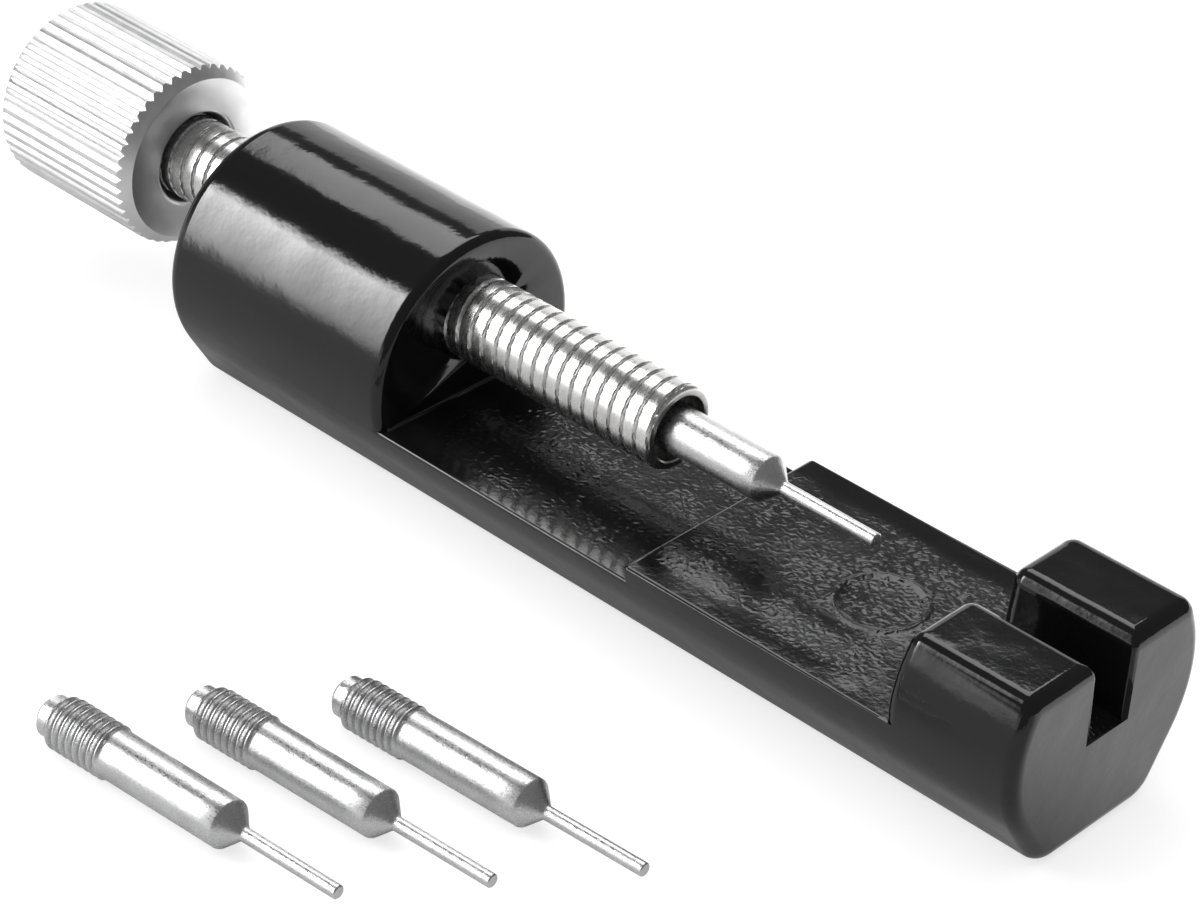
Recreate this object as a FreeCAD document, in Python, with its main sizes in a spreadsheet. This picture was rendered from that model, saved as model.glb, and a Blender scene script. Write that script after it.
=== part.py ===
import FreeCAD, Part
import math
import os
import Sketcher

# A link-pin press for watch bracelets. A knob drives a threaded spindle through the barrel of a
# die-cast frame, and the pin in the spindle's mouth pushes a link pin out of the bracelet, which
# lies in the cradle and backs onto the two ears of the end block.
# X runs along the spindle from knob to ears, Z is up, and the origin is the middle of the base.

lengths = {
    # frame
    "frame_length": 62.0,
    "round_radius": 7.5,
    "round_height": 7.2,
    "base_half_width": 4.3,
    "base_corner_round": 2.0,
    "barrel_length": 17.5,
    "step_from_rear": 35.9,
    "low_floor_height": 5.2,
    "high_floor_height": 6.3,
    "ear_length": 8.4,
    "ear_lean": 0.3,
    "ear_height": 11.3,
    "slot_width": 2.7,
    "slot_flare": 0.2,
    "rear_round": 1.0,
    "barrel_mouth_round": 0.6,
    "ear_round": 0.9,
    "lip_round": 0.35,
    "front_round": 0.8,
    "mark_x": 16.3,
    "mark_radius": 2.5,
    "mark_foot": 0.35,
    "mark_crest": 0.08,
    "mark_height": 0.13,
    "cut_margin": 1.0,
    # spindle
    "screw_height": 9.9,
    "spindle_front": 1.8,
    "spindle_radius": 2.475,
    "spindle_pitch": 0.95,
    "groove_depth": 0.28,
    "groove_mouth": 0.40,
    "groove_root": 0.12,
    "groove_rear": -38.4,
    "thread_clearance": 0.07,
    "thread_overlap": 0.1,
    "ridge_lead": 10,
    "ridge_turns": 15,
    "journal_radius": 2.1,
    "mouth_radius": 1.9,
    "mouth_depth": 1.8,
    "pin_bore_radius": 1.55,
    "pin_bore_depth": 7.6,
    "spindle_chamfer": 0.25,
    # knob
    "knob_front": -36.7,
    "knob_length": 11.3,
    "knob_radius": 5.6,
    "knob_face_radius": 4.95,
    "knob_front_chamfer": 0.7,
    "knob_rear_chamfer": 0.35,
    "recess_radius": 3.05,
    "recess_depth": 2.4,
    "knob_end_wall": 1.2,
    "knurl_depth": 0.3,
    "knurl_width": 0.62,
    "knurl_count": 46,
    # punch pin and its spares
    "pin_rear": -4.7,
    "pin_length": 20.3,
    "pilot_length": 0.9,
    "pilot_radius": 1.15,
    "pin_thread_length": 3.9,
    "pin_thread_radius": 1.49,
    "pin_pitch": 0.5,
    "pin_groove_depth": 0.22,
    "pin_groove_mouth": 0.4,
    "pin_groove_root": 0.08,
    "shank_radius": 1.36,
    "cone_length": 1.05,
    "tip_length": 6.4,
    "tip_radius": 0.385,
    # where the spare pins lie
    "spare_rear_x": -10.3,
    "spare_rear_y": -33.3,
    "spare_step_x": 4.45,
    "spare_step_y": 6.03,
    "spare_turn": 3.3,
}

spare_count = 3

doc = FreeCAD.newDocument("bracelet_pin_press")
sheet = doc.addObject("Spreadsheet::Sheet", "sizes")
for row, (alias, value) in enumerate(lengths.items(), start=1):
    sheet.set(f"A{row}", alias)
    sheet.set(f"B{row}", str(value))
    sheet.setAlias(f"B{row}", alias)
doc.recompute()


def named(text):
    """Turn plain words in a formula into references to the sheet."""
    words = sorted(lengths, key=len, reverse=True)
    for index, word in enumerate(words):
        text = text.replace(word, f"@{index}@")
    for index, word in enumerate(words):
        text = text.replace(f"@{index}@", f"sizes.{word}")
    return text


def value_of(text):
    return float(sheet.evalExpression(named(text)))


def new_body(label):
    body = doc.addObject("PartDesign::Body", f"{label}_body")
    body.Label = label
    return body


def new_sketch(body, name, role):
    sketch = body.newObject("Sketcher::SketchObject", name)
    plane = next(item for item in body.Origin.OriginFeatures if item.Role == role)
    sketch.AttachmentSupport = [(plane, "")]
    sketch.MapMode = "FlatFace"
    return sketch


def pin_coordinate(sketch, axis, geometry, point, text):
    """Hold one coordinate of a sketch point at a formula of the sheet."""
    value = value_of(text)
    if value == 0:
        reference = -2 if axis == "X" else -1
        sketch.addConstraint(Sketcher.Constraint("PointOnObject", geometry, point, reference))
        return
    if value > 0:
        ends = (-1, 1, geometry, point)
        formula = named(text)
    else:
        ends = (geometry, point, -1, 1)
        formula = f"-({named(text)})"
    number = sketch.addConstraint(Sketcher.Constraint(f"Distance{axis}", *ends, abs(value)))
    sketch.setExpression(f"Constraints[{number}]", formula)


def draw_outline(sketch, corners):
    """Draw a closed outline of straight lines through corners given as pairs of formulas."""
    places = [FreeCAD.Vector(value_of(u), value_of(v), 0) for u, v in corners]
    count = len(places)
    for index in range(count):
        sketch.addGeometry(Part.LineSegment(places[index], places[(index + 1) % count]), False)
    for index in range(count):
        following = (index + 1) % count
        sketch.addConstraint(Sketcher.Constraint("Coincident", index, 2, following, 1))
    for index, (u, v) in enumerate(corners):
        pin_coordinate(sketch, "X", index, 1, u)
        pin_coordinate(sketch, "Y", index, 1, v)


def draw_circle(sketch, height, radius):
    centre = FreeCAD.Vector(0, value_of(height), 0)
    circle = sketch.addGeometry(Part.Circle(centre, FreeCAD.Vector(0, 0, 1), value_of(radius)), False)
    pin_coordinate(sketch, "X", circle, 3, "0")
    pin_coordinate(sketch, "Y", circle, 3, height)
    number = sketch.addConstraint(Sketcher.Constraint("Radius", circle, value_of(radius)))
    sketch.setExpression(f"Constraints[{number}]", named(radius))


def add_feature(body, kind, name, sketch, **settings):
    feature = body.newObject(f"PartDesign::{kind}", name)
    feature.Profile = sketch
    for key, value in settings.items():
        if isinstance(value, str) and key in ("Length", "Pitch", "Height"):
            feature.setExpression(key, named(value))
        else:
            setattr(feature, key, value)
    sketch.Visibility = False
    doc.recompute()
    return feature


def must_remove(before, body, name):
    """A cut that points the wrong way shows no error, so the volume has to fall."""
    if not body.Shape.Volume < before - 1e-3:
        raise RuntimeError(f"{name} removed nothing")


def cut(body, kind, name, sketch, **settings):
    before = body.Shape.Volume
    feature = add_feature(body, kind, name, sketch, **settings)
    must_remove(before, body, name)
    return feature


def turned_blank(body, name, profile):
    """Revolve a half section, given as (along X, radius) pairs, about the body's X axis."""
    sketch = new_sketch(body, f"{name}_section", "XZ_Plane")
    draw_outline(sketch, profile)
    return add_feature(body, "Revolution", name, sketch, ReferenceAxis=(sketch, ["H_Axis"]), Angle=360)


def draw_thread_profile(sketch, middle, inner, inner_width, outer, outer_width):
    """Draw a trapezium across a thread: its width at an inner and an outer height."""
    draw_outline(sketch, [
        (f"{middle} - ({inner_width}) / 2", inner),
        (f"{middle} + ({inner_width}) / 2", inner),
        (f"{middle} + ({outer_width}) / 2", outer),
        (f"{middle} - ({outer_width}) / 2", outer),
    ])


def cut_thread(body, name, start, radius, depth, mouth, root, pitch, length):
    """Cut a right-hand helical groove about the body's X axis, from start towards +X."""
    sketch = new_sketch(body, f"{name}_profile", "XZ_Plane")
    # the profile ends a little outside the crest, so that the cut is clean
    widening = f"({mouth} - {root}) / {depth} * thread_overlap"
    draw_thread_profile(sketch, start, f"{radius} - {depth}", root,
                        f"{radius} + thread_overlap", f"{mouth} + {widening}")
    return cut(body, "SubtractiveHelix", name, sketch, ReferenceAxis=(sketch, ["H_Axis"]),
               Mode=0, Pitch=pitch, Height=length, LeftHanded=False)


def round_edges(body, name, radius, wanted):
    """Fillet the edges whose middle point the function wanted accepts."""
    base = body.Tip
    chosen = []
    for number, edge in enumerate(base.Shape.Edges, start=1):
        middle = edge.valueAt((edge.FirstParameter + edge.LastParameter) / 2)
        if wanted(middle, edge):
            chosen.append(f"Edge{number}")
    if not chosen:
        raise RuntimeError(f"{name} found no edges")
    fillet = body.newObject("PartDesign::Fillet", name)
    fillet.Base = (base, chosen)
    fillet.setExpression("Radius", named(radius))
    doc.recompute()
    if fillet.Shape.isNull() or not fillet.isValid():
        raise RuntimeError(f"{name} did not build")
    return fillet


def draw_bar_section(sketch):
    """Draw the frame's section: a flat base whose flanks run tangent into a round top."""
    half = value_of("base_half_width")
    height = value_of("round_height")
    radius = value_of("round_radius")
    centre = FreeCAD.Vector(0, height, 0)
    meeting = math.acos(radius / math.hypot(half, height)) - math.atan2(height, half)
    right = centre + FreeCAD.Vector(radius * math.cos(meeting), radius * math.sin(meeting), 0)
    left = FreeCAD.Vector(-right.x, right.y, 0)
    base_left = FreeCAD.Vector(-half, 0, 0)
    base_right = FreeCAD.Vector(half, 0, 0)
    circle = Part.Circle(centre, FreeCAD.Vector(0, 0, 1), radius)
    sketch.addGeometry(Part.LineSegment(base_left, base_right), False)
    sketch.addGeometry(Part.LineSegment(base_right, right), False)
    sketch.addGeometry(Part.ArcOfCircle(circle, meeting, math.pi / 2), False)
    sketch.addGeometry(Part.ArcOfCircle(circle, math.pi / 2, math.pi - meeting), False)
    sketch.addGeometry(Part.LineSegment(left, base_left), False)
    sketch.addConstraint(Sketcher.Constraint("Coincident", 0, 2, 1, 1))
    sketch.addConstraint(Sketcher.Constraint("Tangent", 1, 2, 2, 1))
    sketch.addConstraint(Sketcher.Constraint("Coincident", 2, 2, 3, 1))
    sketch.addConstraint(Sketcher.Constraint("Tangent", 3, 2, 4, 1))
    sketch.addConstraint(Sketcher.Constraint("Coincident", 4, 2, 0, 1))
    pin_coordinate(sketch, "X", 0, 1, "-base_half_width")
    pin_coordinate(sketch, "Y", 0, 1, "0")
    pin_coordinate(sketch, "X", 0, 2, "base_half_width")
    pin_coordinate(sketch, "Y", 0, 2, "0")
    pin_coordinate(sketch, "X", 2, 2, "0")
    for arc in (2, 3):
        pin_coordinate(sketch, "X", arc, 3, "0")
        pin_coordinate(sketch, "Y", arc, 3, "round_height")
    number = sketch.addConstraint(Sketcher.Constraint("Radius", 2, radius))
    sketch.setExpression(f"Constraints[{number}]", named("round_radius"))


def build_frame():
    body = new_body("frame")
    rear = value_of("-frame_length / 2")
    front = value_of("frame_length / 2")
    high_floor = value_of("high_floor_height")
    top = value_of("ear_height")
    ear_start = value_of("frame_length / 2 - ear_length")
    step_x = value_of("step_from_rear - frame_length / 2")
    lip = value_of("slot_width / 2 + slot_flare")

    section = new_sketch(body, "bar_section", "YZ_Plane")
    draw_bar_section(section)
    add_feature(body, "Pad", "bar", section, Length="frame_length", SideType="Symmetric")

    # open cradle, its step and the tops of the ears, seen from the side
    side = new_sketch(body, "cradle_side", "XZ_Plane")
    draw_outline(side, [
        ("barrel_length - frame_length / 2", "low_floor_height"),
        ("step_from_rear - frame_length / 2", "low_floor_height"),
        ("step_from_rear - frame_length / 2", "high_floor_height"),
        ("frame_length / 2 - ear_length", "high_floor_height"),
        ("frame_length / 2 - ear_length + ear_lean", "ear_height"),
        ("frame_length / 2 + cut_margin", "ear_height"),
        ("frame_length / 2 + cut_margin", "3 * round_radius"),
        ("barrel_length - frame_length / 2", "3 * round_radius"),
    ])
    cut(body, "Pocket", "cradle", side, Length="4 * round_radius", SideType="Symmetric")

    gap = new_sketch(body, "slot_section", "YZ_Plane")
    draw_outline(gap, [
        ("-slot_width / 2", "high_floor_height"),
        ("slot_width / 2", "high_floor_height"),
        ("slot_width / 2 + slot_flare", "ear_height + cut_margin"),
        ("-slot_width / 2 - slot_flare", "ear_height + cut_margin"),
    ])
    cut(body, "Pocket", "slot", gap, Length="frame_length", Reversed=True)

    bore = new_sketch(body, "bore_section", "YZ_Plane")
    draw_circle(bore, "screw_height", "spindle_radius + thread_clearance")
    cut(body, "Pocket", "bore", bore, Length="frame_length", Reversed=False)

    def along_x(edge):
        return edge.BoundBox.YLength < 0.01 and edge.BoundBox.ZLength < 0.01

    def is_base_corner(middle, edge):
        return along_x(edge) and middle.z < 0.01 and edge.Length > 10

    round_edges(body, "base_corners", "base_corner_round", is_base_corner)

    def is_step_edge(middle, edge):
        return abs(middle.x - step_x) < 0.01 and abs(middle.z - high_floor) < 0.01

    round_edges(body, "step_edge", "lip_round", is_step_edge)

    barrel_front = value_of("barrel_length - frame_length / 2")

    def is_barrel_mouth(middle, edge):
        return abs(middle.x - barrel_front) < 0.01 and middle.z > value_of("round_height + round_radius") - 1

    round_edges(body, "barrel_mouth", "barrel_mouth_round", is_barrel_mouth)

    def is_ear_back(middle, edge):
        on_back = ear_start - 0.01 < middle.x < ear_start + value_of("ear_lean") + 0.01
        return on_back and high_floor + 1 < middle.z < top - 0.1

    round_edges(body, "ear_backs", "ear_round", is_ear_back)

    def is_ear_top(middle, edge):
        on_slot = edge.BoundBox.YLength < 0.01 and abs(middle.y) < lip
        return middle.x > ear_start and abs(middle.z - top) < 0.01 and not on_slot

    round_edges(body, "ear_tops", "ear_round", is_ear_top)

    def is_rear_rim(middle, edge):
        from_axis = (middle.y ** 2 + (middle.z - value_of("screw_height")) ** 2) ** 0.5
        return abs(middle.x - rear) < 0.01 and from_axis > 3

    round_edges(body, "rear_rim", "rear_round", is_rear_rim)

    def is_front_rim(middle, edge):
        return abs(middle.x - front) < 0.01 and abs(middle.y) > value_of("slot_width")

    round_edges(body, "front_rim", "front_round", is_front_rim)

    def is_slot_lip(middle, edge):
        return middle.x > ear_start + 1 and middle.z > top - 1 and abs(middle.y) < lip + 0.01

    round_edges(body, "slot_lips", "lip_round", is_slot_lip)

    # the ring left by an ejector pin on the upper floor
    ring = new_sketch(body, "mark_section", "XZ_Plane")
    draw_outline(ring, [
        ("mark_x + mark_radius - mark_foot", "high_floor_height - mark_height"),
        ("mark_x + mark_radius + mark_foot", "high_floor_height - mark_height"),
        ("mark_x + mark_radius + mark_foot", "high_floor_height"),
        ("mark_x + mark_radius + mark_crest", "high_floor_height + mark_height"),
        ("mark_x + mark_radius - mark_crest", "high_floor_height + mark_height"),
        ("mark_x + mark_radius - mark_foot", "high_floor_height"),
    ])
    mark_foot = FreeCAD.Vector(value_of("mark_x"), 0, 0)
    mark_head = FreeCAD.Vector(value_of("mark_x"), top, 0)
    mark_axis = ring.addGeometry(Part.LineSegment(mark_foot, mark_head), True)
    ring.addConstraint(Sketcher.Constraint("Vertical", mark_axis))
    pin_coordinate(ring, "X", mark_axis, 1, "mark_x")
    pin_coordinate(ring, "Y", mark_axis, 1, "0")
    add_feature(body, "Revolution", "ejector_mark", ring, ReferenceAxis=(ring, ["Axis0"]), Angle=360)

    # internal thread: a ridge that runs in the spindle's groove with clearance on every side
    profile = new_sketch(body, "ridge_profile", "XZ_Plane")
    slope = "(groove_mouth - groove_root) / groove_depth"
    draw_thread_profile(
        profile,
        "groove_rear + ridge_lead * spindle_pitch",
        "screw_height + spindle_radius - groove_depth + thread_clearance",
        f"groove_root + ({slope} - 2) * thread_clearance",
        "screw_height + spindle_radius + thread_clearance + thread_overlap",
        f"groove_mouth + ({slope} - 2) * thread_clearance + {slope} * thread_overlap",
    )
    axis_start = FreeCAD.Vector(0, value_of("screw_height"), 0)
    axis_end = FreeCAD.Vector(front, value_of("screw_height"), 0)
    axis = profile.addGeometry(Part.LineSegment(axis_start, axis_end), True)
    profile.addConstraint(Sketcher.Constraint("Horizontal", axis))
    pin_coordinate(profile, "X", axis, 1, "0")
    pin_coordinate(profile, "Y", axis, 1, "screw_height")
    before = body.Shape.Volume
    add_feature(body, "AdditiveHelix", "thread_ridge", profile, ReferenceAxis=(profile, ["Axis0"]),
                Mode=0, Pitch="spindle_pitch", Height="ridge_turns * spindle_pitch", LeftHanded=False)
    if not body.Shape.Volume > before:
        raise RuntimeError("thread_ridge added nothing")
    return body


def build_spindle():
    body = new_body("spindle")
    journal_rear = "knob_front - knob_length + knob_end_wall + thread_overlap"
    shoulder = "knob_front - recess_depth"
    turned_blank(body, "spindle_blank", [
        (journal_rear, "0"),
        (journal_rear, "journal_radius"),
        (shoulder, "journal_radius"),
        (shoulder, "spindle_radius"),
        ("spindle_front - spindle_chamfer", "spindle_radius"),
        ("spindle_front", "spindle_radius - spindle_chamfer"),
        ("spindle_front", "mouth_radius"),
        ("spindle_front - mouth_depth", "mouth_radius"),
        ("spindle_front - mouth_depth", "pin_bore_radius"),
        ("spindle_front - pin_bore_depth", "pin_bore_radius"),
        ("spindle_front - pin_bore_depth - pin_bore_radius / 2", "0"),
    ])
    cut_thread(body, "spindle_thread", "groove_rear", "spindle_radius", "groove_depth",
               "groove_mouth", "groove_root", "spindle_pitch",
               "spindle_front - groove_rear + spindle_pitch")
    body.setExpression("Placement.Base.z", named("screw_height"))
    return body


def build_knob():
    body = new_body("knob")
    rear = "knob_front - knob_length"
    turned_blank(body, "knob_blank", [
        (rear, "0"),
        (rear, "knob_radius - knob_rear_chamfer"),
        (f"{rear} + knob_rear_chamfer", "knob_radius"),
        ("knob_front - knob_front_chamfer", "knob_radius"),
        ("knob_front", "knob_face_radius"),
        ("knob_front", "recess_radius"),
        ("knob_front - recess_depth", "recess_radius"),
        ("knob_front - recess_depth", "journal_radius"),
        (f"{rear} + knob_end_wall", "journal_radius"),
        (f"{rear} + knob_end_wall", "0"),
    ])
    notch = new_sketch(body, "knurl_notch", "YZ_Plane")
    draw_outline(notch, [
        ("0", "knob_radius - knurl_depth"),
        ("knurl_width", "knob_radius + knurl_depth"),
        ("-knurl_width", "knob_radius + knurl_depth"),
    ])
    first = cut(body, "Pocket", "first_notch", notch, Length="knob_length - knob_front + cut_margin",
                Reversed=False)
    knurl = body.newObject("PartDesign::PolarPattern", "knurl")
    knurl.Originals = [first]
    knurl.Axis = (notch, ["N_Axis"])
    knurl.Angle = 360
    knurl.setExpression("Occurrences", named("knurl_count"))
    body.Tip = knurl
    before = body.Shape.Volume
    doc.recompute()
    must_remove(before, body, "knurl")
    body.setExpression("Placement.Base.z", named("screw_height"))
    return body


def build_pin(label):
    """A pin with its rear end at the origin, pointing along +X: pilot, thread, shank, cone, tip."""
    body = new_body(label)
    cone_rear = "pin_length - tip_length - cone_length"
    turned_blank(body, f"{label}_blank", [
        ("0", "0"),
        ("0", "pilot_radius - pilot_length / 3"),
        ("pilot_length / 3", "pilot_radius"),
        ("pilot_length", "pilot_radius"),
        ("pilot_length", "pin_thread_radius"),
        ("pilot_length + pin_thread_length", "pin_thread_radius"),
        ("pilot_length + pin_thread_length", "shank_radius"),
        (cone_rear, "shank_radius"),
        ("pin_length - tip_length", "tip_radius"),
        ("pin_length", "tip_radius"),
        ("pin_length", "0"),
    ])
    cut_thread(body, f"{label}_thread", "pilot_length", "pin_thread_radius", "pin_groove_depth",
               "pin_groove_mouth", "pin_groove_root", "pin_pitch", "pin_thread_length - pin_pitch / 4")
    return body


parts = [build_frame(), build_spindle(), build_knob()]

punch_pin = build_pin("punch_pin")
punch_pin.setExpression("Placement.Base.x", named("pin_rear"))
punch_pin.setExpression("Placement.Base.z", named("screw_height"))
parts.append(punch_pin)

# the spare pins lie side by side on the table, each resting on its thread
for index in range(spare_count):
    spare = build_pin(f"spare_pin_{index + 1}")
    spare.setExpression("Placement.Base.x", named(f"spare_rear_x + {index} * spare_step_x"))
    spare.setExpression("Placement.Base.y", named(f"spare_rear_y + {index} * spare_step_y"))
    spare.setExpression("Placement.Base.z", named("pin_thread_radius"))
    spare.setExpression("Placement.Rotation.Angle", named("spare_turn"))
    parts.append(spare)

doc.recompute()

for item in doc.Objects:
    if "Invalid" in item.State or "Error" in item.State:
        raise RuntimeError(f"{item.Label} did not build")

os.makedirs("parts", exist_ok=True)
for body in parts:
    shape = body.Shape
    if shape.isNull() or not shape.isValid() or len(shape.Solids) != 1:
        raise RuntimeError(f"{body.Label} is not one valid solid")
    shape.exportStep(f"parts/{body.Label}.step")
    box = shape.BoundBox
    print(f"{body.Label}: {shape.Volume:.1f} mm3, X {box.XMin:.2f} to {box.XMax:.2f}, "
          f"Y {box.YMin:.2f} to {box.YMax:.2f}, Z {box.ZMin:.2f} to {box.ZMax:.2f}")
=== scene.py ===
import bpy
import bmesh
import math
from mathutils import Matrix, Vector


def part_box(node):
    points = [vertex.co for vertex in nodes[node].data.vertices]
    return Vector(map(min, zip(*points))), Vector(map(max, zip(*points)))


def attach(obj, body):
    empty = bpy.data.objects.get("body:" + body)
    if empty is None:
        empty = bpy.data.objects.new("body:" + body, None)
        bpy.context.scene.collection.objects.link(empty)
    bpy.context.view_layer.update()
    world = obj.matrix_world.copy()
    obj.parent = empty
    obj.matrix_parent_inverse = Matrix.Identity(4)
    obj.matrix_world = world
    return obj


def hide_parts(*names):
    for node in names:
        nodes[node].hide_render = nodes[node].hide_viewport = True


# A screw press for the link pins of bracelets: a cast frame, a threaded spindle with its
# knob and pin, and three spare pins. Everything is in metres, in the frame's own axes:
# X runs along the spindle from the knob to the slotted end, and Z is up.

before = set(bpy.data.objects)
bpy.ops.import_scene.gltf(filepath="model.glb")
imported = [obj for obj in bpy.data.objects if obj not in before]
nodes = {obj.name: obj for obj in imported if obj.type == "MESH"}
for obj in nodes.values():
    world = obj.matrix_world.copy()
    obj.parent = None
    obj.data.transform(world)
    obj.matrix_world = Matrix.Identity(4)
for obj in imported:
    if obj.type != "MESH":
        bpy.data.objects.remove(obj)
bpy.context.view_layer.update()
screwHeight = (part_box("knob")[0].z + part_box("knob")[1].z) / 2
scene = bpy.context.scene
scene.view_settings.view_transform = "Standard"


# a node with its settings; each input is given a plain value or another node's output
def addNode(tree, kind, inputs=None, **settings):
    node = tree.nodes.new(kind)
    for key, value in settings.items():
        setattr(node, key, value)
    for key, value in (inputs or {}).items():
        if isinstance(value, bpy.types.NodeSocket):
            tree.links.new(value, node.inputs[key])
        else:
            node.inputs[key].default_value = value
    return node


def mathNode(tree, operation, *terms):
    return addNode(tree, "ShaderNodeMath", dict(enumerate(terms)), operation=operation).outputs[0]


def noiseNode(tree, place, scale, detail, **settings):
    noise = {"Vector": place, "Scale": scale, "Detail": detail}
    return addNode(tree, "ShaderNodeTexNoise", noise, **settings)


# carries a value from one range to another
def rangeNode(tree, value, start, end, low=0.0, high=1.0, kind="LINEAR"):
    sockets = {"Value": value, "From Min": start, "From Max": end, "To Min": low, "To Max": high}
    return addNode(tree, "ShaderNodeMapRange", sockets, interpolation_type=kind).outputs["Result"]


# a ramp between two greys, each given as (place, grey)
def greyRamp(tree, factor, stops):
    node = addNode(tree, "ShaderNodeValToRGB", {"Fac": factor})
    for element, (place, grey) in zip(node.color_ramp.elements, stops):
        element.position = place
        element.color = (grey, grey, grey, 1)
    return node.outputs["Color"]


def bumpNode(tree, height, strength, distance, under=None):
    sockets = {"Height": height, "Strength": strength, "Distance": distance}
    if under:
        sockets["Normal"] = under
    return addNode(tree, "ShaderNodeBump", sockets).outputs["Normal"]


def splitNode(tree, vector):
    return addNode(tree, "ShaderNodeSeparateXYZ", {0: vector}).outputs


def newMaterial(name):
    material = bpy.data.materials.new(name)
    material.use_nodes = True
    tree = material.node_tree
    return material, tree, tree.nodes["Principled BSDF"]


def newGroup(name, inputs, outputs):
    group = bpy.data.node_groups.new(name, "ShaderNodeTree")
    for label, kind, value in inputs:
        socket = group.interface.new_socket(name=label, in_out="INPUT", socket_type=kind)
        if value is not None:
            socket.default_value = value
    for label in outputs:
        group.interface.new_socket(name=label, in_out="OUTPUT", socket_type="NodeSocketFloat")
    return group, group.nodes.new("NodeGroupInput"), group.nodes.new("NodeGroupOutput")


grain = {
    "detail": 5.0,
    "fineness": 0.62,
    "smooth": 0.32,        # noise where the surface is smoothest
    "rough": 0.68,         # and where it is roughest
    "toneScale": 900.0,
    "toneDetail": 3.0,
}


# fine grain of worked metal, streaked along one direction: a height, a roughness and a tone
def makeGrainGroup():
    group, given, out = newGroup("workedGrain", [
        ("Vector", "NodeSocketVector", None),
        ("Stretch", "NodeSocketVector", (1, 1, 1)),
        ("Scale", "NodeSocketFloat", 4000.0),
        ("Rough Low", "NodeSocketFloat", 0.15),
        ("Rough High", "NodeSocketFloat", 0.3),
    ], ["Height", "Roughness", "Tone"])
    sources = given.outputs
    stretched = addNode(group, "ShaderNodeVectorMath", {0: sources["Vector"], 1: sources["Stretch"]},
                        operation="MULTIPLY").outputs[0]
    fine = noiseNode(group, stretched, sources["Scale"], grain["detail"])
    fine.inputs["Roughness"].default_value = grain["fineness"]
    height = fine.outputs["Fac"]
    roughness = rangeNode(group, height, grain["smooth"], grain["rough"],
                          sources["Rough Low"], sources["Rough High"])
    tone = noiseNode(group, stretched, grain["toneScale"], grain["toneDetail"]).outputs["Fac"]
    for label, source in (("Height", height), ("Roughness", roughness), ("Tone", tone)):
        group.links.new(source, out.inputs[label])
    return group


coatLook = {
    "colour": (0.0045, 0.0045, 0.005),
    "ior": 1.52,
    "roughness": 0.07,
    "hazeScale": 180.0,                         # clouds where the coat is a little duller
    "hazeDetail": 3.0,
    "hazeRange": (0.3, 0.7),
    "hazeRoughness": 0.05,
    # unevenness of the coat: scale and detail of the noise, strength, height in metres
    "bumps": (
        (210.0, 1.0, 0.22, 0.0004),             # slow waves left by the casting
        (650.0, 2.0, 0.05, 0.0004),             # orange peel of the sprayed coat
        (3800.0, 3.0, 0.045, 0.00012),          # fine nibs in the coat
    ),
    # the wrinkled skin of the casting, on the cradle floors only
    "castScale": 2500.0,
    "castDetail": 4.0,
    "castFineness": 0.5,
    "castDistortion": 0.35,
    "castStrength": 1.0,
    "castHeight": 0.00007,
    "castRoughness": 0.08,
    "patchScale": 260.0,                        # patches where the skin is smoother
    "patchDetail": 2.0,
    "patchStops": ((0.38, 0.25), (0.62, 1.0)),
    "floorTop": 0.00665,
    "floorHalf": 0.0052,
    "floorFade": 0.0011,
    "floorFacing": 0.7,                         # least upward share of a floor's normal
}


# 1 on the cradle floors, away from their rims, and 0 elsewhere
def floorMask(tree, place):
    look = coatLook
    split = splitNode(tree, place)
    across = mathNode(tree, "ABSOLUTE", split["Y"])
    edge = rangeNode(tree, across, look["floorHalf"] + look["floorFade"], look["floorHalf"],
                     kind="SMOOTHSTEP")
    low = mathNode(tree, "LESS_THAN", split["Z"], look["floorTop"])
    facing = splitNode(tree, addNode(tree, "ShaderNodeTexCoord").outputs["Normal"])
    level = mathNode(tree, "GREATER_THAN", facing["Z"], look["floorFacing"])
    return mathNode(tree, "MULTIPLY", mathNode(tree, "MULTIPLY", low, level), edge)


def makeCoat():
    look = coatLook
    material, tree, shader = newMaterial("glossBlackCoat")
    shader.inputs["Base Color"].default_value = (*look["colour"], 1)
    shader.inputs["IOR"].default_value = look["ior"]
    place = addNode(tree, "ShaderNodeTexCoord").outputs["Object"]
    onFloor = floorMask(tree, place)

    wrinkle = noiseNode(tree, place, look["castScale"], look["castDetail"],
                        noise_type="RIDGED_MULTIFRACTAL")
    wrinkle.inputs["Roughness"].default_value = look["castFineness"]
    wrinkle.inputs["Distortion"].default_value = look["castDistortion"]
    patches = noiseNode(tree, place, look["patchScale"], look["patchDetail"])
    patchMask = greyRamp(tree, patches.outputs["Fac"], look["patchStops"])
    skin = mathNode(tree, "MULTIPLY", wrinkle.outputs["Fac"], patchMask)
    castHeight = mathNode(tree, "MULTIPLY", skin, onFloor)

    normal = None
    for scale, detail, strength, distance in look["bumps"]:
        height = noiseNode(tree, place, scale, detail).outputs["Fac"]
        normal = bumpNode(tree, height, strength, distance, normal)
    normal = bumpNode(tree, castHeight, look["castStrength"], look["castHeight"], normal)
    tree.links.new(normal, shader.inputs["Normal"])

    cloud = noiseNode(tree, place, look["hazeScale"], look["hazeDetail"]).outputs["Fac"]
    haze = rangeNode(tree, cloud, *look["hazeRange"],
                     look["roughness"], look["roughness"] + look["hazeRoughness"])
    roughness = mathNode(tree, "MULTIPLY_ADD", onFloor, look["castRoughness"], haze)
    tree.links.new(roughness, shader.inputs["Roughness"])
    return material


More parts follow.
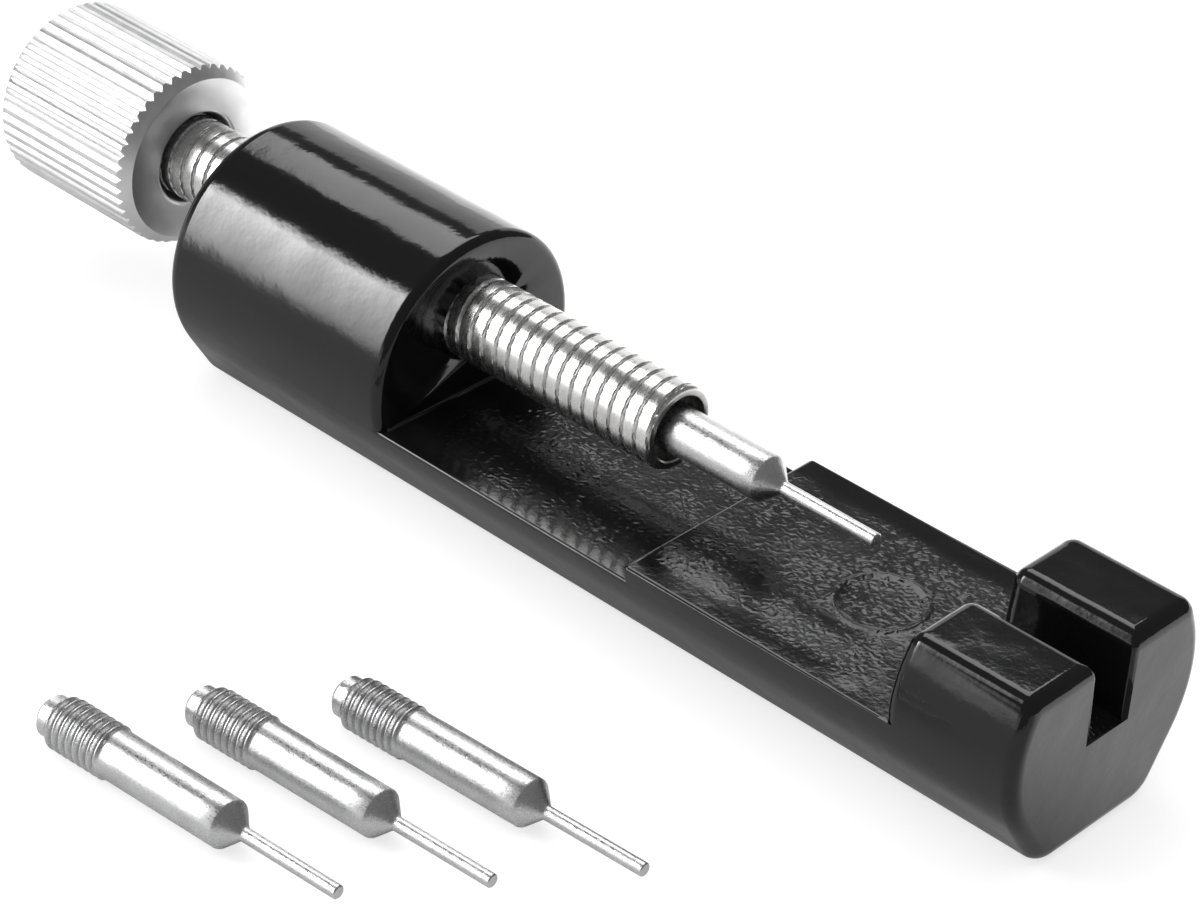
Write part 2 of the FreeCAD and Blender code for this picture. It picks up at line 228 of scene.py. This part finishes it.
metalLooks = {
    "brightPlate": {
        "colour": (0.86, 0.855, 0.845),
        "dark": (0.33, 0.325, 0.32),           # painted shade in the hollows
        "rough": (0.19, 0.34),
        "stretch": (1.0, 0.25, 0.25),
        "grain": 5200.0,
        "strength": 0.10,
    },
    "groundSteel": {
        "colour": (0.8, 0.8, 0.805),
        "dark": (0.24, 0.24, 0.24),
        "rough": (0.22, 0.4),
        "stretch": (0.6, 1.0, 1.0),
        "grain": 9000.0,
        "strength": 0.35,
    },
    "satinAluminium": {
        "colour": (0.9, 0.9, 0.905),
        "dark": (0.62, 0.62, 0.62),
        "rough": (0.34, 0.46),
        "stretch": (1.0, 0.4, 0.4),
        "grain": 3600.0,
        "strength": 0.08,
    },
}
metalShared = {
    "hollowShade": 0.85,                              # how far the hollows go to their dark colour, as painted shade
    "toneStops": ((0.3, 0.86), (0.7, 1.0)),
    "grainHeight": 0.00005,
    "latheScale": 9000.0,
    "latheDetail": 2.0,
    "latheShare": 0.8,
}


# rings left by the lathe, round the spindle's axis
def latheRings(tree, place):
    split = splitNode(tree, place)
    up = mathNode(tree, "SUBTRACT", split["Z"], screwHeight)
    flat = addNode(tree, "ShaderNodeCombineXYZ", {"X": split["Y"], "Y": up}).outputs[0]
    reach = addNode(tree, "ShaderNodeVectorMath", {0: flat}, operation="LENGTH").outputs["Value"]
    rings = addNode(tree, "ShaderNodeTexNoise", {
        "W": reach, "Scale": metalShared["latheScale"], "Detail": metalShared["latheDetail"],
    }, noise_dimensions="1D")
    return rings.outputs["Fac"]


# a metal whose hollows, marked by the mesh's own "depth" values, are darker: painted shade
def makeMetal(name, turned=False):
    look = metalLooks[name]
    material, tree, shader = newMaterial(name)
    shader.inputs["Metallic"].default_value = 1.0
    place = addNode(tree, "ShaderNodeTexCoord").outputs["Object"]
    worked = addNode(tree, "ShaderNodeGroup", {
        "Vector": place, "Stretch": look["stretch"], "Scale": look["grain"],
        "Rough Low": look["rough"][0], "Rough High": look["rough"][1],
    }, node_tree=grainGroup).outputs
    depth = addNode(tree, "ShaderNodeAttribute", attribute_name="depth").outputs["Fac"]
    # painted shade: the hollows are mixed towards the dark colour
    shadedHollows = addNode(tree, "ShaderNodeMix", {
        "Factor": mathNode(tree, "MULTIPLY", depth, metalShared["hollowShade"]),
        "A": (*look["colour"], 1), "B": (*look["dark"], 1),
    }, data_type="RGBA").outputs["Result"]
    shade = greyRamp(tree, worked["Tone"], metalShared["toneStops"])
    toned = addNode(tree, "ShaderNodeMix", {"Factor": 1.0, "A": shadedHollows, "B": shade},
                    data_type="RGBA", blend_type="MULTIPLY").outputs["Result"]
    tree.links.new(toned, shader.inputs["Base Color"])
    tree.links.new(worked["Roughness"], shader.inputs["Roughness"])
    height = worked["Height"]
    if turned:
        height = mathNode(tree, "MULTIPLY_ADD", latheRings(tree, place), metalShared["latheShare"], height)
    normal = bumpNode(tree, height, look["strength"], metalShared["grainHeight"])
    tree.links.new(normal, shader.inputs["Normal"])
    return material


grainGroup = makeGrainGroup()
coat = makeCoat()
brightPlate = makeMetal("brightPlate")
groundSteel = makeMetal("groundSteel")
satinAluminium = makeMetal("satinAluminium", turned=True)
print("materials made")


# turn (x, radius) points about the X axis; radiusAt may change a radius with the angle
def makeTurned(name, profile, around, material, radiusAt, depthAt, smooth):
    mesh = bmesh.new()
    layer = mesh.verts.layers.float.new("depth")
    rings = []
    for x, radius in profile:
        if radius <= 0:
            rings.append([mesh.verts.new((x, 0, 0))])
            continue
        ring = []
        for step in range(around):
            angle = 2 * math.pi * step / around
            r = radiusAt(x, angle, radius)
            point = mesh.verts.new((x, -r * math.sin(angle), r * math.cos(angle)))
            point[layer] = depthAt(x, r, radius)
            ring.append(point)
        rings.append(ring)
    for first, second in zip(rings, rings[1:]):
        for step in range(around):
            following = (step + 1) % around
            if len(first) == 1:
                corners = (first[0], second[following], second[step])
            elif len(second) == 1:
                corners = (first[step], first[following], second[0])
            else:
                corners = (first[step], first[following], second[following], second[step])
            mesh.faces.new(corners)
    bmesh.ops.recalc_face_normals(mesh, faces=mesh.faces)
    data = bpy.data.meshes.new(name)
    mesh.to_mesh(data)
    mesh.free()
    data.materials.append(material)
    piece = bpy.data.objects.new(name, data)
    scene.collection.objects.link(piece)
    data.shade_smooth()
    data.set_sharp_from_angle(angle=math.radians(smooth))
    return piece


# count + 1 points of one radius
def spread(start, end, radius, count):
    return [(start + (end - start) * index / count, radius) for index in range(count + 1)]


def smoothStep(value):
    value = min(max(value, 0.0), 1.0)
    return value * value * (3 - 2 * value)


# depth of a rounded screw groove at a place x and an angle, for a thread that starts at x zero
def grooveDepth(x, angle, sizes):
    phase = (x / sizes["pitch"] - angle / (2 * math.pi)) % 1.0
    offset = min(phase, 1.0 - phase) * sizes["pitch"]
    slope = (offset - sizes["root"] / 2) / ((sizes["mouth"] - sizes["root"]) / 2)
    return sizes["groove"] * (1 - smoothStep(slope))


spindle = {
    "radius": 0.002475,
    "pitch": 0.00095,
    "groove": 0.00018,         # depth of the thread's groove
    "mouth": 0.00028,          # its width at the top and at the root
    "root": 0.00003,
    "crest": 0.00008,          # stays bright down to this depth
    "journal": 0.0021,
    "shoulderIn": 0.0024,      # how far inside the knob's face the journal ends
    "threadIn": 0.0017,        # and the thread
    "mouthRadius": 0.0019,     # the wide mouth of the bore for the pin
    "mouthDepth": 0.0018,
    "mouthEdge": 0.00008,
    "boreRadius": 0.0015,
    "boreDepth": 0.0068,
    "boreShade": 0.55,
    "chamfer": 0.00028,
    "chamferSteps": 6,
    "around": 128,
    "perPitch": 24,
    "smooth": 40.0,
}


def buildSpindle():
    s = spindle
    low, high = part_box("spindle")
    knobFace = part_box("knob")[1].x
    front = high.x
    shoulder = knobFace - s["shoulderIn"]
    threadRear = knobFace - s["threadIn"]
    count = round((front - s["chamfer"] - shoulder) / s["pitch"] * s["perPitch"])
    profile = [(low.x, 0), (low.x, s["journal"]), (shoulder, s["journal"])]
    profile += spread(shoulder, front - s["chamfer"], s["radius"], count)
    for index in range(1, s["chamferSteps"] + 1):
        turn = math.pi / 2 * index / s["chamferSteps"]
        profile.append((front - s["chamfer"] + s["chamfer"] * math.sin(turn),
                        s["radius"] - s["chamfer"] * (1 - math.cos(turn))))
    profile += [
        (front, s["mouthRadius"] + s["mouthEdge"]),
        (front - s["mouthEdge"], s["mouthRadius"]),
        (front - s["mouthDepth"], s["mouthRadius"]),
        (front - s["mouthDepth"], s["boreRadius"]),
        (front - s["boreDepth"], s["boreRadius"]),
        (front - s["boreDepth"], 0),
    ]

    def radiusAt(x, angle, radius):
        if radius <= s["journal"] or x < threadRear:
            return radius
        return min(radius, s["radius"] - grooveDepth(x - threadRear, angle, s))

    def depthAt(x, r, radius):
        if x <= front - s["mouthDepth"] and radius <= s["mouthRadius"]:
            return s["boreShade"]
        return smoothStep((s["radius"] - r - s["crest"]) / s["groove"])

    piece = makeTurned("threadedSpindle", profile, s["around"], brightPlate, radiusAt, depthAt, s["smooth"])
    piece.location.z = screwHeight
    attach(piece, "screw")
    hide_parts("spindle")


knob = {
    "radius": 0.0056,
    "face": 0.00495,           # radius of the flat front face
    "rearChamfer": 0.00035,
    "rearFace": 0.00252,       # a ring that keeps the rear face's normals flat
    "frontChamfer": 0.0007,
    "recess": 0.0028,          # round the spindle, in the front face
    "recessDepth": 0.0024,
    "recessRound": 0.00025,
    "recessSteps": 5,
    "recessShade": 0.5,
    "endWall": 0.0012,
    "edge": 0.00005,
    "notches": 46,
    "notchDepth": 0.0002,
    "notchShare": 0.62,        # of the pitch round the knob, the rest is crest
    "notchShade": 0.75,
    "perNotch": 14,
    "smooth": 25.0,
    # rings on the chamfers, close together where a notch runs out
    "rearRings": (0.0, 0.15, 0.4, 0.65, 0.85, 1.0),
    "frontRings": (0.0, 0.08, 0.16, 0.24, 0.32, 0.4, 0.5, 0.62, 0.75, 0.88, 0.97),
}


def buildKnob():
    k = knob
    low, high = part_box("knob")
    rear, front = low.x, high.x
    journal = spindle["journal"]
    profile = [(rear, 0), (rear, k["rearFace"]), (rear, k["radius"] - k["rearChamfer"] - 2 * k["edge"])]
    profile += [(rear + k["rearChamfer"] * t, k["radius"] - k["rearChamfer"] * (1 - t))
                for t in k["rearRings"]]
    profile += spread(rear + k["rearChamfer"] + 2 * k["edge"], front - k["frontChamfer"] - k["edge"],
                      k["radius"], 8)
    drop = k["radius"] - k["face"]
    profile += [(front - k["frontChamfer"] * (1 - t), k["radius"] - drop * t) for t in k["frontRings"]]
    profile += [(front, k["face"] - k["edge"]), (front, (k["face"] + k["recess"]) / 2)]
    for index in range(k["recessSteps"] + 1):
        turn = math.pi / 2 * index / k["recessSteps"]
        profile.append((front - k["recessRound"] * (1 - math.cos(turn)),
                        k["recess"] + k["recessRound"] * (1 - math.sin(turn))))
    profile += [
        (front - k["recessDepth"], k["recess"]),
        (front - k["recessDepth"], journal),
        (rear + k["endWall"], journal),
        (rear + k["endWall"], 0),
    ]

    def radiusAt(x, angle, radius):
        phase = (angle / (2 * math.pi) * k["notches"]) % 1.0
        offset = min(phase, 1.0 - phase) * 2      # 0 in the middle of a notch, 1 on the crest
        notch = k["notchDepth"] * (1 - min(offset / k["notchShare"], 1.0))
        return min(radius, k["radius"] - notch)

    def depthAt(x, r, radius):
        if rear < x <= front - k["recessDepth"] and radius <= k["recess"]:
            return k["recessShade"]
        if radius < k["radius"]:
            return 0.0
        return min((k["radius"] - r) / k["notchDepth"], 1.0) * k["notchShade"]

    piece = makeTurned("turningKnob", profile, k["notches"] * k["perNotch"], satinAluminium,
                       radiusAt, depthAt, k["smooth"])
    piece.location.z = screwHeight
    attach(piece, "screw")
    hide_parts("knob")


pin = {
    "length": 0.0203,
    "pilot": 0.0009,
    "pilotRadius": 0.00115,
    "pilotChamfer": 0.0003,
    "threadLength": 0.0039,
    "threadRadius": 0.00149,
    "threadSteps": 150,
    "pitch": 0.0005,
    "groove": 0.00028,
    "mouth": 0.00045,
    "root": 0.00006,
    "crest": 0.00007,
    "threadShade": 0.8,
    "leadStart": 0.25,         # the thread rises from the pilot over part of a turn
    "leadEnd": 0.65,
    "shank": 0.00136,
    "shankRings": 6,
    "cone": 0.00105,
    "coneRings": (0.2, 0.4, 0.6, 0.8, 0.96),
    "tip": 0.0064,
    "tipRadius": 0.000385,
    "tipRings": 8,
    "edge": 0.00006,           # size of the small broken edges
    "around": 72,
    "smooth": 35.0,
    "spareTurn": 3.3,          # degrees that the spare pins lie turned on the table
    "tipReach": 0.0003,        # the tip's end is looked for within this of the far end
}


# a pin along X from its rear end at zero: pilot, thread, shank, cone and thin tip
def pinMesh(name):
    p = pin
    edge = p["edge"]
    threadEnd = p["pilot"] + p["threadLength"]
    tipRear = p["length"] - p["tip"]
    coneRear = tipRear - p["cone"]
    profile = [
        (0, 0),
        (0, p["pilotRadius"] - p["pilotChamfer"]),
        (p["pilotChamfer"], p["pilotRadius"]),
        (p["pilot"] - edge, p["pilotRadius"]),
    ]
    profile += spread(p["pilot"], threadEnd, p["threadRadius"], p["threadSteps"])
    profile += [(threadEnd + edge, p["shank"] + edge / 2), (threadEnd + 2 * edge, p["shank"])]
    profile += spread(threadEnd + 4 * edge, coneRear - edge, p["shank"], p["shankRings"])
    profile += [(coneRear + edge * 0.7, p["shank"] - edge * 0.7)]
    profile += [(coneRear + p["cone"] * t, p["shank"] + (p["tipRadius"] - p["shank"]) * t)
                for t in p["coneRings"]]
    profile += [(tipRear + 1.5 * edge, p["tipRadius"])]
    profile += spread(tipRear + 5 * edge, p["length"] - edge, p["tipRadius"], p["tipRings"])
    profile += [(p["length"], p["tipRadius"] - edge), (p["length"], 0)]

    def radiusAt(x, angle, radius):
        if radius < p["threadRadius"]:
            return radius
        turns = (x - p["pilot"]) / p["pitch"]
        cutTo = p["threadRadius"] - grooveDepth(x - p["pilot"], angle, p)
        if turns >= p["leadEnd"]:
            return cutTo
        return p["pilotRadius"] + (cutTo - p["pilotRadius"]) * smoothStep(turns + p["leadStart"])

    def depthAt(x, r, radius):
        if radius < p["threadRadius"]:
            return 0.0
        return smoothStep((p["threadRadius"] - r - p["crest"]) / p["groove"]) * p["threadShade"]

    return makeTurned(name, profile, p["around"], groundSteel, radiusAt, depthAt, p["smooth"])


# where a spare pin's rear end lies across the table, worked out from the points at its tip
def spareRearY(node, turn):
    points = [v.co for v in nodes[node].data.vertices]
    far = max(point.x for point in points)
    tips = [point.y for point in points if point.x > far - pin["tipReach"]]
    return (min(tips) + max(tips)) / 2 - pin["length"] * math.sin(turn)


def buildPins():
    piece = pinMesh("punchPin")
    piece.location = (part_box("punch_pin")[1].x - pin["length"], 0, screwHeight)
    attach(piece, "press_pin")
    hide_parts("punch_pin")
    turn = math.radians(pin["spareTurn"])
    for number in (1, 2, 3):
        node = f"spare_pin_{number}"
        spare = pinMesh(f"sparePin{number}")
        # the tip's end is the far corner of the node's box
        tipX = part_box(node)[1].x - pin["tipRadius"] * math.sin(turn)
        rearX = tipX - pin["length"] * math.cos(turn)
        spare.rotation_euler = (0, 0, turn)
        spare.location = (rearX, spareRearY(node, turn), pin["threadRadius"])
        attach(spare, f"spare_{number}")
        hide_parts(node)


casting = {
    "round": 0.00022,          # radius of the rounded rims
    "steps": 6,
    "sharp": 38.0,             # degrees from which an edge may be rounded
    "smooth": 22.0,
    "rimSide": 0.006,          # the cradle's rims lie outside this, below and behind these
    "rimTop": 0.0064,
    "rimFront": 0.0228,
    "footFront": -0.0134,      # the foot of the barrel's face lies behind and below these
    "footTop": 0.0053,
    "footLength": 0.005,
}


# whether an edge is a rim of the cradle or the foot of the barrel's face
def isRounded(edge):
    c = casting
    if len(edge.link_faces) != 2 or edge.calc_face_angle(0) < math.radians(c["sharp"]):
        return False
    middle = (edge.verts[0].co + edge.verts[1].co) / 2
    isLow = middle.z < c["rimTop"] and middle.x < c["rimFront"]
    isRim = edge.is_convex and abs(middle.y) > c["rimSide"] and isLow
    isBehind = middle.x < c["footFront"] and middle.z < c["footTop"]
    isFoot = isBehind and edge.calc_length() > c["footLength"]
    return isRim or isFoot


def buildFrame():
    c = casting
    data = nodes["frame"].data.copy()
    data.name = "castFrame"
    mesh = bmesh.new()
    mesh.from_mesh(data)
    bmesh.ops.remove_doubles(mesh, verts=mesh.verts, dist=1e-7)
    chosen = [edge for edge in mesh.edges if isRounded(edge)]
    bmesh.ops.bevel(mesh, geom=chosen, offset=c["round"], offset_type="OFFSET", segments=c["steps"],
                    profile=0.5, affect="EDGES", clamp_overlap=False)
    mesh.to_mesh(data)
    mesh.free()
    data.materials.clear()
    data.materials.append(coat)
    for polygon in data.polygons:
        polygon.material_index = 0
    data.shade_smooth()
    data.set_sharp_from_angle(angle=math.radians(c["smooth"]))
    piece = bpy.data.objects.new("castFrame", data)
    scene.collection.objects.link(piece)
    weighted = piece.modifiers.new("weighted", "WEIGHTED_NORMAL")
    weighted.keep_sharp = True
    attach(piece, "frame")
    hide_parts("frame")
    print("frame edges rounded:", len(chosen))


buildFrame()
buildSpindle()
buildKnob()
buildPins()
print("pieces made")

# corners: where the panel stands: far left, far right, near right, near left
# fade: shares of the panel over which it dims at its left, right, near and far edges
softboxes = {
    "overhead": {
        "corners": ((-0.58, 0.42, 0.46), (-0.16, 0.505, 0.472), (-0.16, 0.20, 0.76), (-0.60, 0.13, 0.66)),
        "strength": 3.0,
        "fade": (0.05, 0.05, 0.03, 0.04),
    },
    "near": {
        "corners": ((-0.72, -0.33, 0.60), (-0.30, -0.36, 0.70), (-0.24, -0.80, 0.02), (-0.68, -0.78, 0.01)),
        "strength": 24.0,
        "fade": (0.15, 0.95, 1.0, 0.14),
    },
    "nearLow": {
        "corners": ((-1.3, -0.5, 0.36), (0.15, -1.25, 0.36), (0.15, -1.25, 0.0), (-1.3, -0.5, 0.0)),
        "strength": 0.9,
        "fade": (0.1, 0.1, 0.02, 0.8),
    },
    "back": {
        "corners": ((-0.95, 0.60, 0.44), (-0.05, 0.85, 0.46), (-0.05, 0.85, 0.0), (-0.95, 0.60, 0.0)),
        "strength": 0.85,
        "fade": (0.1, 0.1, 0.05, 0.05),
    },
}
panelSteps = 12


# light that fades towards the panel's edges
def makePanelLight(name, box):
    material = bpy.data.materials.new(name)
    material.use_nodes = True
    tree = material.node_tree
    tree.nodes.clear()
    split = splitNode(tree, addNode(tree, "ShaderNodeUVMap", uv_map="across").outputs[0])
    left, right, near, far = box["fade"]
    strength = box["strength"]
    for axis, startFade, endFade in (("X", left, right), ("Y", near, far)):
        rise = rangeNode(tree, split[axis], 0.0, startFade)
        fall = rangeNode(tree, split[axis], 1.0, 1.0 - endFade)
        share = mathNode(tree, "MULTIPLY", rise, fall)
        strength = mathNode(tree, "MULTIPLY", share, strength)
    glow = addNode(tree, "ShaderNodeEmission", {"Strength": strength}).outputs[0]
    # the panels add up where one stands behind another
    clear = addNode(tree, "ShaderNodeBsdfTransparent").outputs[0]
    added = addNode(tree, "ShaderNodeAddShader", {0: glow, 1: clear}).outputs[0]
    addNode(tree, "ShaderNodeOutputMaterial", {"Surface": added})
    return material


def makeSoftbox(name, box):
    mesh = bmesh.new()
    farLeft, farRight, nearRight, nearLeft = (Vector(corner) for corner in box["corners"])
    layer = mesh.loops.layers.uv.new("across")
    grid = []
    for row in range(panelSteps + 1):
        left = nearLeft.lerp(farLeft, row / panelSteps)
        right = nearRight.lerp(farRight, row / panelSteps)
        grid.append([mesh.verts.new(left.lerp(right, column / panelSteps))
                     for column in range(panelSteps + 1)])
    for row in range(panelSteps):
        for column in range(panelSteps):
            places = ((row, column), (row, column + 1), (row + 1, column + 1), (row + 1, column))
            face = mesh.faces.new([grid[r][c] for r, c in places])
            for loop, (r, c) in zip(face.loops, places):
                loop[layer].uv = (c / panelSteps, r / panelSteps)
    data = bpy.data.meshes.new(name)
    mesh.to_mesh(data)
    mesh.free()
    data.materials.append(makePanelLight(f"{name}Light", box))
    piece = bpy.data.objects.new(f"{name}Softbox", data)
    scene.collection.objects.link(piece)
    piece.visible_camera = False


studioFloor = {
    "colour": (0.4, 0.4, 0.4),
    "glow": 0.72,
    "nearGlow": 0.12,          # as the gloss of the near side and of the far side sees it
    "farGlow": 1.0,
    "glowFrom": -0.004,
    "glowTo": 0.012,
    "glowLean": 0.15,
    "roughness": 0.9,
    "specular": 0.1,
    "half": 3.0,
    "drop": 0.00002,
}


def makeFloor():
    f = studioFloor
    mesh = bmesh.new()
    bmesh.ops.create_grid(mesh, x_segments=8, y_segments=8, size=f["half"])
    data = bpy.data.meshes.new("studioFloor")
    mesh.to_mesh(data)
    mesh.free()
    material, tree, shader = newMaterial("paleFloor")
    shader.inputs["Base Color"].default_value = (*f["colour"], 1)
    shader.inputs["Emission Color"].default_value = (1, 1, 1, 1)
    shader.inputs["Roughness"].default_value = f["roughness"]
    shader.inputs["Specular IOR Level"].default_value = f["specular"]
    split = splitNode(tree, addNode(tree, "ShaderNodeTexCoord").outputs["Object"])
    along = mathNode(tree, "MULTIPLY_ADD", split["X"], f["glowLean"], split["Y"])
    seen = rangeNode(tree, along, f["glowFrom"], f["glowTo"], f["nearGlow"], f["farGlow"], "SMOOTHSTEP")
    ray = addNode(tree, "ShaderNodeLightPath").outputs["Is Glossy Ray"]
    glow = addNode(tree, "ShaderNodeMix", {"Factor": ray, "A": f["glow"], "B": seen}, data_type="FLOAT")
    tree.links.new(glow.outputs["Result"], shader.inputs["Emission Strength"])
    data.materials.append(material)
    piece = bpy.data.objects.new("studioFloor", data)
    piece.location.z = -f["drop"]
    scene.collection.objects.link(piece)


surroundings = {
    "lampSize": 1.6,
    "lampHeight": 1.3,
    "lampPower": 14.0,
    "worldDark": 0.16,         # what lights the object from all round
    "worldSeen": 0.95,         # what the camera sees behind the floor
}


# a high lamp that only lifts the floor to white
def makeTopLamp():
    lamp = bpy.data.lights.new("topLamp", "AREA")
    lamp.shape = "RECTANGLE"
    lamp.size = surroundings["lampSize"]
    lamp.size_y = surroundings["lampSize"]
    lamp.energy = surroundings["lampPower"]
    piece = bpy.data.objects.new("topLamp", lamp)
    piece.location = (0, 0, surroundings["lampHeight"])
    piece.visible_glossy = False
    piece.visible_camera = False
    scene.collection.objects.link(piece)


def makeWorld():
    world = bpy.data.worlds.new("studioWorld")
    scene.world = world
    world.use_nodes = True
    tree = world.node_tree
    dark, seen = surroundings["worldDark"], surroundings["worldSeen"]
    mixed = addNode(tree, "ShaderNodeMix", {
        "Factor": addNode(tree, "ShaderNodeLightPath").outputs["Is Camera Ray"],
        "A": (dark, dark, dark, 1), "B": (seen, seen, seen, 1),
    }, data_type="RGBA")
    tree.links.new(mixed.outputs["Result"], tree.nodes["Background"].inputs["Color"])


cameraView = {
    "azimuth": 42.067,
    "elevation": 33.884,
    "roll": 3.258,
    "distance": 0.216878,
    "target": (-0.00376, 0.0, 0.005445),
    "lens": 119.57,
    "sensor": 36.0,
    "clip": (0.01, 20.0),
}


def makeCamera():
    c = cameraView
    azimuth, elevation, roll = (math.radians(c[key]) for key in ("azimuth", "elevation", "roll"))
    back = Vector((math.sin(azimuth) * math.cos(elevation), -math.cos(azimuth) * math.cos(elevation),
                   math.sin(elevation)))
    right = (-back).cross(Vector((0, 0, 1))).normalized()
    up = right.cross(-back)
    tiltedRight = right * math.cos(roll) + up * math.sin(roll)
    tiltedUp = up * math.cos(roll) - right * math.sin(roll)
    data = bpy.data.cameras.new("studioCamera")
    data.lens = c["lens"]
    data.sensor_width = c["sensor"]
    data.clip_start, data.clip_end = c["clip"]
    camera = bpy.data.objects.new("studioCamera", data)
    turn = Matrix((tiltedRight, tiltedUp, back)).transposed()
    camera.matrix_world = Matrix.Translation(Vector(c["target"]) + back * c["distance"]) @ turn.to_4x4()
    scene.collection.objects.link(camera)
    scene.camera = camera


for name, box in softboxes.items():
    makeSoftbox(name, box)
makeFloor()
makeTopLamp()
makeWorld()
makeCamera()
print("studio made")

print("scene ready")
